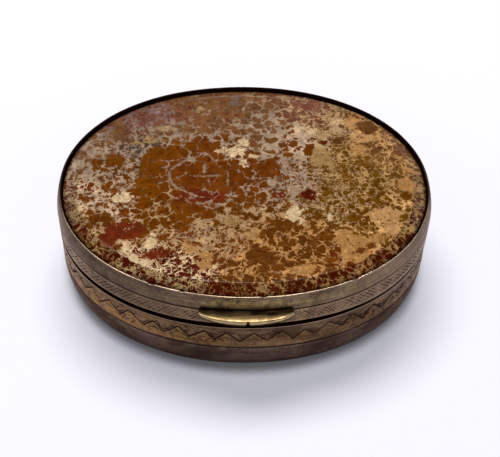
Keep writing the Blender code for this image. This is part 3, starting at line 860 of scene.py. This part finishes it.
# Plain islands, pale pools and single veins: centre, radii and colour
ISLANDS = [
    (-10.5, 8.4, 3.2, 1.7, OCHRE), (-14.5, 7.2, 2.8, 1.8, OCHRE), (-16.8, 4.0, 2.0, 3.4, OCHRE),
    (-17.4, 0.0, 1.9, 3.6, OCHRE), (-16.0, -4.4, 2.2, 3.0, OCHRE), (-23.0, 5.3, 1.6, 1.3, OCHRE),
    (-6.0, 1.8, 6.4, 4.4, RUSSET), (-8.0, -3.4, 4.4, 1.8, RUST), (-9.0, -5.2, 4.0, 1.5, RUSSET),
    (4.0, 3.6, 2.4, 2.2, RUSSET), (-7.0, 8.8, 2.4, 1.3, RUSSET), (22.6, 14.4, 1.8, 1.9, WALNUT),
    (11.4, 8.2, 0.9, 1.5, RUSSET), (-20.5, -11.3, 3.3, 2.1, RUST), (-23.4, -13.4, 1.6, 1.4, RUST),
    (-24.0, -16.0, 3.0, 1.2, OXBLOOD), (-15.0, -16.4, 2.2, 0.8, RUST), (6.0, -3.2, 1.1, 0.7, RUST),
    (11.4, -3.0, 1.4, 1.1, OXBLOOD), (27.0, -8.0, 1.0, 0.7, OLIVE), (7.5, -18.0, 1.2, 0.9, UMBER),
    (14.3, -16.0, 0.8, 0.6, RUST), (2.5, -16.5, 2.6, 1.6, UMBER), (6.0, -10.0, 2.0, 1.2, UMBER),
    (-26.0, 4.5, 1.0, 1.6, UMBER), (-27.5, -4.0, 1.4, 0.7, RUSSET), (-24.0, -8.0, 1.6, 1.2, UMBER),
]
POOLS = [
    (-1.2, 7.6, 1.7, 1.7, CREAM), (-0.2, 9.8, 0.9, 1.2, CREAM), (1.3, 6.6, 1.0, 0.6, CREAM),
    (-3.2, 7.8, 1.6, 0.5, CREAM), (-0.2, 4.8, 0.5, 1.6, CREAM), (-17.4, 10.4, 2.3, 0.7, STRAW),
    (-7.8, 18.5, 1.1, 0.6, BUFF), (-14.5, 13.6, 1.3, 0.7, BUFF), (-11.6, 12.4, 1.3, 0.7, DOVE),
    (2.6, 22.6, 2.0, 0.5, BUFF), (-1.4, 21.6, 0.7, 1.5, LAVENDER), (21.6, 11.6, 2.8, 2.2, SAND),
    (20.4, 15.4, 1.4, 2.4, TAN), (20.6, 8.6, 1.6, 1.2, TAN), (13.8, 6.0, 1.6, 2.4, STRAW),
    (14.6, 12.0, 1.6, 1.2, BUFF), (29.2, 3.4, 1.5, 0.7, TAN), (28.6, -0.4, 1.5, 1.6, TAN),
    (30.8, -1.6, 0.5, 2.0, STRAW), (-17.6, -17.2, 2.6, 1.4, CREAM), (-15.6, -13.6, 0.8, 1.8, CREAM),
    (-20.0, -15.6, 1.4, 0.7, CREAM), (-6.8, -17.2, 1.6, 2.2, TAN), (-9.5, -14.6, 2.0, 1.0, TAN),
    (-2.4, -9.0, 1.2, 1.2, STRAW), (8.4, -7.6, 1.8, 1.6, CREAM), (1.0, -12.2, 1.2, 1.3, STRAW),
    (14.3, -8.2, 0.8, 0.9, CREAM), (24.2, -7.6, 3.0, 2.2, SAND), (25.0, -10.6, 1.3, 1.5, SAND),
    (17.4, -13.2, 2.4, 2.2, TAN), (22.0, -13.0, 1.2, 1.5, TAN), (18.0, -17.0, 2.4, 1.5, TAN),
    (9.0, -19.4, 2.6, 1.0, TAN), (-21.5, -3.5, 2.0, 1.0, CREAM),
]
VEINS = [
    (-6.3, 1.6, 2.8, 0.3, DOVE), (-7.1, 3.6, 0.3, 1.7, DOVE), (-3.0, 0.4, 0.25, 1.8, DOVE),
    (-6.4, 0.4, 0.2, 1.4, DOVE),
]
# A vein that runs round an island: centre, radii, and half its width
RING = (-5.6, 1.6, 7.4, 5.4)
RING_HALF_WIDTH = 0.25


def ellipse_depth(x, y, shape):
    """Rough distance in from the edge of an ellipse in millimetres, negative outside it."""
    reach = np.hypot((x - shape[0]) / shape[2], (y - shape[1]) / shape[3])
    return (1 - reach) * min(shape[2], shape[3])


def deepest(x, y, shapes):
    """Depth inside the nearest of the ellipses, and that ellipse's colour."""
    depths = np.array([ellipse_depth(x, y, shape) for shape in shapes])
    colours = np.array([shape[4] for shape in shapes])
    return depths.max(0), colours[depths.argmax(0)]


def wander(x, y, seed):
    """How far a pattern is pushed about at a place, by slow noise with some finer noise on it."""
    slow = value_noise(x / 2.5 + 40, y / 2.5 + 40, seed)
    return 1.2 * slow + 0.4 * value_noise(x + 40, y + 40, seed + 1)


def region_weight(x, y, region):
    """How strongly a region counts at a place."""
    return np.exp(-1.4 * (((x - region[0]) / region[2]) ** 2 + ((y - region[1]) / region[3]) ** 2))


def stone_values(points):
    """Values and colours for the stone's material at its points, by their place on the plaque."""
    x, y = points[..., 0], points[..., 1]
    wander_x, wander_y = wander(x, y, seed=71), wander(x, y, seed=73)
    weights = np.array([region_weight(x + wander_x, y + wander_y, region) for region in REGIONS])
    weights = weights / (weights.sum(0) + 1e-9)
    grounds, veins, laces, fines = (np.array([region[i] for region in REGIONS]) for i in (4, 5, 6, 7))
    ground, vein = (np.einsum("k...,kc->...c", weights, colours) for colours in (grounds, veins))
    lace, fine = (np.einsum("k...,k->...", weights, shares) for shares in (laces, fines))
    near_x, near_y = x + 0.35 * wander_x, y + 0.35 * wander_y
    island, island_tone = deepest(near_x, near_y, ISLANDS)
    pool, pool_tone = deepest(near_x, near_y, POOLS)
    line, _ = deepest(x + 0.15 * wander_x, y + 0.15 * wander_y, VEINS)
    ring = RING_HALF_WIDTH - np.abs(ellipse_depth(near_x, near_y, RING)) - 0.3 * rise(x, -10.0, -4.0)
    line = np.maximum(line, ring)

    # The bevel is darker and plainer along the front, and dark at its foot all round
    drop = STONE_HIGH - points[..., 2]
    front = rise(drop, 0.0, 0.08) * rise(-y + 0.25 * np.abs(x), 6.0, 14.0)
    ground = ground + front[..., None] * 0.95 * (np.array(OXBLOOD) * 0.8 - ground)
    vein = vein + front[..., None] * 0.75 * (np.array(KHAKI) - vein)
    shade = 1 - 0.6 * rise(drop, BEVEL_DROP - 0.22, BEVEL_DROP - 0.04)[..., None]
    return {
        "lace": lace + front * (0.2 - lace),
        "fine": fine + front * (0.9 - fine),
        "island": island - 1.5 * front,
        "pool": pool - 1.2 * front,
        "veins": line,
        "ground": ground * shade,
        "vein": vein * shade,
        "island_tone": island_tone,
        "pool_tone": pool_tone,
    }


def build_stone(material):
    """The stone: a flat polished table inside a shallow bevel."""
    shape, _ = oval_columns(STONE_COLUMNS)
    edge_top = STONE_HIGH - BEVEL_DROP
    rim = [(STONE_INSET + EDGE, STONE_LOW), (STONE_INSET, STONE_LOW + EDGE),
           (STONE_INSET, edge_top - BEVEL_EDGE), (STONE_INSET + BEVEL_EDGE, edge_top)]
    slope = [(STONE_INSET + BEVEL_EDGE + (BEVEL_WIDTH - BEVEL_EDGE) * share,
              edge_top + BEVEL_DROP * share) for share in BEVEL_SHARES]
    rows = [oval_points(shape, inset, height) for inset, height in rim + slope]
    flat = oval_points(shape, STONE_INSET + BEVEL_WIDTH + TABLE_CREASE, STONE_HIGH)
    rows += [flat * [share, share, 1.0] for share in np.linspace(1.0, TABLE_CENTRE, TABLE_RINGS)]
    points = np.array(rows)
    faces = capped_faces(len(rows), STONE_COLUMNS)
    make_piece("polished_stone", points, faces, material, "lid", ["stone_plaque"],
               stone_values(points), sharp=8.0)


def stone_material():
    """Brown cells in pale veins, large in places and like lace in others, with islands and pools."""
    s = Surface("mottled_stone")
    flat = s.add("ShaderNodeVectorMath", {0: s.place, 1: (1.0, 1.0, 0.0)}, operation="MULTIPLY")
    bent = s.warp(s.warp(flat, 2.0, 2.4), 0.5, 0.7)
    cells = s.cell_edges(1.7, bent)
    crumbs = s.math("SUBTRACT", s.cell_edges(1.0, bent), 0.04)
    curl = s.math("ABSOLUTE", s.math("SUBTRACT", s.noise(1.25, 1.5, bent, roughness=0.5), 0.5))
    curl = s.math("SUBTRACT", 1.0, s.times(curl, 7.0))
    field = s.blend(s.value("fine"), cells, s.math("MAXIMUM", curl, crumbs))
    uneven = s.rise(s.noise(3.0, 3.0, flat), 0.3, 0.7, 0.35, 1.5)
    ragged = s.math("SUBTRACT", s.noise(0.7, 5.0, flat, roughness=0.72), 0.5)
    island = s.rise(s.math("ADD", s.value("island"), s.times(ragged, 2.6)), -0.05, 0.05)
    lace = s.times(s.value("lace"), uneven)
    lace = s.times(lace, s.math("SUBTRACT", 1.0, s.times(island, 0.85)))
    over = s.math("ADD", field, lace)
    veined = s.rise(over, 0.95, 1.08)
    lobes = s.math("SUBTRACT", s.noise(1.5, 5.0, bent, roughness=0.68), 0.5)
    pool = s.rise(s.math("ADD", s.value("pool"), s.times(lobes, 5.0)), -0.05, 0.05)
    flecks = s.rise(s.noise(0.9, 4.0, bent, roughness=0.65), 0.57, 0.6)
    pool = s.times(pool, s.math("SUBTRACT", 1.0, s.math("MAXIMUM", island, flecks)))
    line = s.rise(s.math("ADD", s.value("veins"), s.times(ragged, 1.2)), 0.0, 0.14)
    pale = s.math("MAXIMUM", s.math("MAXIMUM", veined, pool), line)

    ground = s.mix(island, s.colour("ground"), s.colour("island_tone"))
    shift = s.rise(s.cells(1.7, bent, "F1", "Color"), 0.2, 0.8, 0.84, 1.14)
    cloud = s.rise(s.noise(1.4, 4.0, flat), 0.3, 0.7, 0.84, 1.12)
    ground = s.scale(ground, s.times(shift, cloud))
    ground = s.mix(s.rise(s.noise(0.7, 3.0, bent), 0.54, 0.66, 0.0, 0.7), ground, OXBLOOD)
    bright = s.rise(s.noise(2.4, 4.0, bent), 0.5, 0.64, 0.0, 0.75)
    light = s.mix(bright, s.colour("vein"), s.scale(s.colour("vein"), 1.45))
    light = s.mix(s.rise(s.noise(1.9, 4.0, flat), 0.54, 0.66, 0.0, 0.5), light, LAVENDER)
    light = s.mix(pool, light, s.colour("pool_tone"))
    light = s.scale(light, s.rise(s.noise(0.6, 4.0, flat), 0.3, 0.7, 0.76, 1.1))
    light = s.scale(light, s.rise(over, 0.95, 1.3, 0.8, 1.1))
    return s.finish(**{"Base Color": s.mix(pale, ground, light), "Roughness": 0.07, "IOR": 1.54})


def cement_material():
    """Dark resinous cement with faint mottling."""
    s = Surface("setting_cement")
    tone = s.mix(s.noise(0.8), srgb(40, 28, 20), srgb(66, 50, 38))
    return s.finish(**{"Base Color": tone, "Roughness": 0.8})


def table_material():
    """Pale table that glows for the camera and in reflections, except next to the foot of the box.

    The glow whitens the table and lightens the box's shadow, which stays dark where the box stands.
    """
    s = Surface("white_table")
    seen = 0.0
    for ray in ("Is Camera Ray", "Is Glossy Ray", "Is Transmission Ray"):
        seen = s.math("MAXIMUM", s.add("ShaderNodeLightPath", out=ray), seen)
    inputs = {0: s.place, 1: (1 / HALF_LENGTH, 1 / HALF_WIDTH, 0.0)}
    plan = s.add("ShaderNodeVectorMath", inputs, operation="MULTIPLY")
    away = s.add("ShaderNodeVectorMath", {0: plan}, "Value", operation="LENGTH")
    glow = s.rise(away, GLOW_START, GLOW_FULL, 0.0, FLOOR_GLOW)
    return s.finish(**{
        "Base Color": s.mix(s.noise(2.0, 3.0), srgb(209, 208, 213), srgb(213, 212, 217)),
        "Roughness": 0.9,
        "Emission Color": srgb(240, 240, 255),
        "Emission Strength": s.times(seen, glow),
    })


def build_floor():
    """The table that the box stands on."""
    turns = ((-1, -1), (1, -1), (1, 1), (-1, 1))
    corners = [(x * FLOOR_REACH, y * FLOOR_REACH, -FLOOR_DROP) for x, y in turns]
    mesh = bpy.data.meshes.new("table")
    mesh.from_pydata((np.array(corners) * MM).tolist(), [], [(0, 1, 2, 3)])
    mesh.materials.append(table_material())
    floor = bpy.data.objects.new("table", mesh)
    bpy.context.scene.collection.objects.link(floor)


def build_room():
    """A white room whose light comes from halfway up, and more of it from the front than from behind."""
    world = bpy.data.worlds.new("white_room")
    bpy.context.scene.world = world
    world.use_nodes = True
    nodes, links = world.node_tree.nodes, world.node_tree.links
    direction = nodes.new("ShaderNodeTexCoord")
    axes = nodes.new("ShaderNodeSeparateXYZ")
    links.new(direction.outputs["Generated"], axes.inputs[0])
    strength = nodes["Background"].inputs["Strength"]
    for axis, low, high, first, last in WORLD_FADES:
        fade = nodes.new("ShaderNodeMapRange")
        fade.interpolation_type = "SMOOTHSTEP"
        for key, value in (("From Min", low), ("From Max", high), ("To Min", first), ("To Max", last)):
            fade.inputs[key].default_value = value
        links.new(axes.outputs[axis], fade.inputs["Value"])
        product = nodes.new("ShaderNodeMath")
        product.operation = "MULTIPLY"
        product.inputs[1].default_value = 1.0
        links.new(fade.outputs[0], product.inputs[0])
        links.new(product.outputs[0], strength)
        strength = product.inputs[1]
    nodes["Background"].inputs["Color"].default_value = WORLD_COLOUR


def build_lamp():
    """A soft oval lamp above the box and a little behind it."""
    data = bpy.data.lights.new("soft_box", "AREA")
    data.shape, data.size, data.size_y = "ELLIPSE", LAMP_LENGTH, LAMP_WIDTH
    data.energy, data.color = LAMP_POWER, LAMP_COLOUR
    lamp = bpy.data.objects.new("soft_box", data)
    lamp.location = LAMP_PLACE
    lamp.rotation_euler = (-lamp.location).to_track_quat("-Z", "Y").to_euler()
    bpy.context.scene.collection.objects.link(lamp)


def build_camera():
    """Camera at the photograph's angle, fitted to the box's rings."""
    elevation, azimuth = math.radians(CAMERA_ELEVATION), math.radians(CAMERA_AZIMUTH)
    roll, flat = math.radians(CAMERA_ROLL), math.cos(elevation)
    back = Vector((math.sin(azimuth) * flat, -math.cos(azimuth) * flat, math.sin(elevation)))
    level = Vector((math.cos(azimuth), math.sin(azimuth), 0.0))
    upright = back.cross(level)
    right = math.cos(roll) * level + math.sin(roll) * upright
    up = math.cos(roll) * upright - math.sin(roll) * level
    data = bpy.data.cameras.new("camera")
    data.lens, data.sensor_width = CAMERA_LENS, CAMERA_SENSOR
    data.clip_start, data.clip_end = 0.01, 20.0
    camera = bpy.data.objects.new("camera", data)
    place = Vector((0.0, 0.0, BEZEL_HIGH)) + CAMERA_DISTANCE * back
    place = place + CAMERA_RIGHT * right - CAMERA_DOWN * up
    turned = Matrix((right, up, back)).transposed().to_4x4()
    camera.matrix_world = Matrix.Translation(place * MM) @ turned
    bpy.context.scene.collection.objects.link(camera)
    bpy.context.scene.camera = camera


def dress_nodes(materials):
    """Gives each CAD node that still shows the material of its slot."""
    slots = {part["node"]: part["material_slot"] for part in frame["record"]["subparts"]}
    for name, node in frame["nodes"].items():
        node.data.materials.clear()
        node.data.materials.append(materials[slots[name]])


def main():
    bpy.context.scene.view_settings.view_transform = "Standard"
    materials = {name: aged_metal(name, *recipe) for name, recipe in METALS.items()}
    materials["setting_cement"] = cement_material()
    materials["mottled_stone"] = stone_material()
    dress_nodes(materials)
    build_camera()
    build_room()
    build_lamp()
    build_floor()
    build_pan(materials["tarnished_pan"])
    build_body_band(materials["engraved_metal"])
    build_lid_band(materials["engraved_metal"])
    build_bezel(materials["tarnished_metal"])
    build_seams(materials["tarnished_metal"], materials["tarnished_pan"])
    build_thumbpiece(materials["worn_gilding"])
    build_stone(materials["mottled_stone"])


main()
